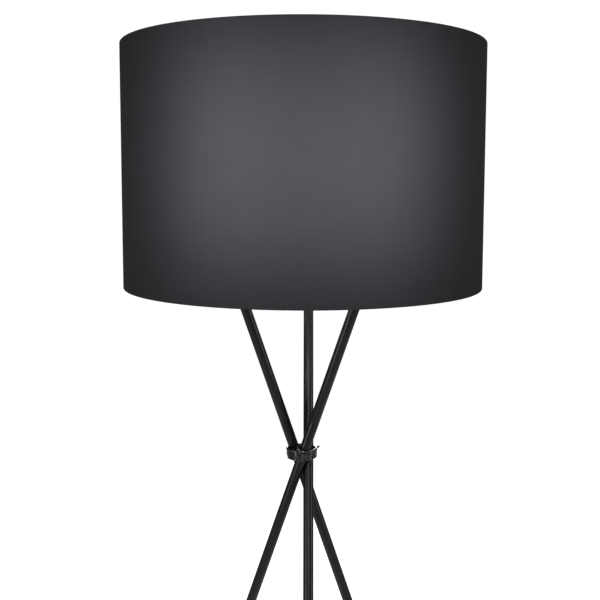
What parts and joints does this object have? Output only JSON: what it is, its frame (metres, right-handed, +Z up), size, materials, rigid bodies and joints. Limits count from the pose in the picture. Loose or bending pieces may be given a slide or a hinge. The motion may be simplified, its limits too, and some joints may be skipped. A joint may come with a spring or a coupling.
{
  "type": "tripod floor lamp",
  "caption": "Floor lamp with a drum fabric shade on three straight black rods that cross and are bound with wire; the shade swivels and the bulb unscrews.",
  "frame": {"origin": "on the floor, under the axis shared by the shade, the lamp holder and the rods' crossing", "axes": "+Z up; -Y towards the foot that stands at the front; +X to the right seen from the front"},
  "size_m": [0.6659, 0.6081, 1.54],
  "materials": {
    "rod_black": "satin black powder coat on steel tube",
    "foot_rubber": "matt black moulded rubber",
    "zinc_steel": "bright zinc-plated steel",
    "grommet_rubber": "black moulded bush",
    "wire_black": "gloss black coated steel wire",
    "hub_black": "satin black powder coat on steel plate",
    "screw_black": "blackened steel",
    "holder_black": "moulded black thermoset plastic",
    "holder_porcelain": "white insulating block",
    "contact_brass": "plain brass",
    "shade_fabric": "charcoal cotton, fine plain weave",
    "shade_lining": "white laminated plastic sheet",
    "shade_wire": "white epoxy coat on steel wire",
    "bulb_cap_metal": "nickel-plated screw cap",
    "bulb_plastic": "white moulded plastic",
    "bulb_frosted": "frosted diffuser",
    "bulb_board_metal": "white-coated aluminium board"
  },
  "bodies": {
    "stand": {"leg_1_lower": "rod_black", "leg_1_middle": "rod_black", "leg_1_upper": "rod_black", "leg_2_lower": "rod_black", "leg_2_middle": "rod_black", "leg_2_upper": "rod_black", "leg_3_lower": "rod_black", "leg_3_middle": "rod_black", "leg_3_upper": "rod_black", "foot_1": "foot_rubber", "foot_2": "foot_rubber", "foot_3": "foot_rubber", "leg_joint_sleeves": "zinc_steel", "leg_joint_studs": "zinc_steel", "leg_top_inserts": "zinc_steel", "cord_grommets": "grommet_rubber", "crossing_wire": "wire_black", "hub_bracket": "hub_black", "hub_screws": "screw_black", "hub_washers": "zinc_steel", "holder_nipple": "zinc_steel", "holder_nut": "zinc_steel", "holder_lock_washer": "zinc_steel", "holder_cap": "holder_black", "holder_skirt": "holder_black", "holder_core": "holder_porcelain", "holder_screw_shell": "contact_brass", "holder_terminal_screws": "contact_brass", "holder_centre_contact": "contact_brass"},
    "shade": {"shade_cover": "shade_fabric", "shade_lining": "shade_lining", "shade_wire_top": "shade_wire", "shade_wire_bottom": "shade_wire", "shade_spider": "shade_wire"},
    "clamp_ring": {"shade_clamp_ring": "holder_black"},
    "bulb_tip": {"bulb_tip_contact": "contact_brass"},
    "bulb": {"bulb_cap": "bulb_cap_metal", "bulb_housing": "bulb_plastic", "bulb_globe": "bulb_frosted", "bulb_board": "bulb_board_metal"}
  },
  "joints": [
    {"name": "shade_turn", "type": "hinge", "parent": "stand", "child": "shade", "pos_m": [0, 0, 1.296], "axis": [0, 0, 1], "continuous": true},
    {"name": "clamp_ring_turn", "type": "hinge", "parent": "stand", "child": "clamp_ring", "pos_m": [0, 0, 1.3], "axis": [0, 0, 1], "range_deg": [0, 1080]},
    {"name": "bulb_rise", "type": "slide", "parent": "stand", "child": "bulb_tip", "axis": [0, 0, 1], "range_m": [0, 0.01814]},
    {"name": "bulb_turn", "type": "hinge", "parent": "bulb_tip", "child": "bulb", "pos_m": [0, 0, 1.32], "axis": [0, 0, 1], "range_deg": [0, 1800]}
  ],
  "couplings": [
    {"joint": "bulb_turn", "follows": "bulb_rise", "rad_per_m": 1731.4}
  ]
}
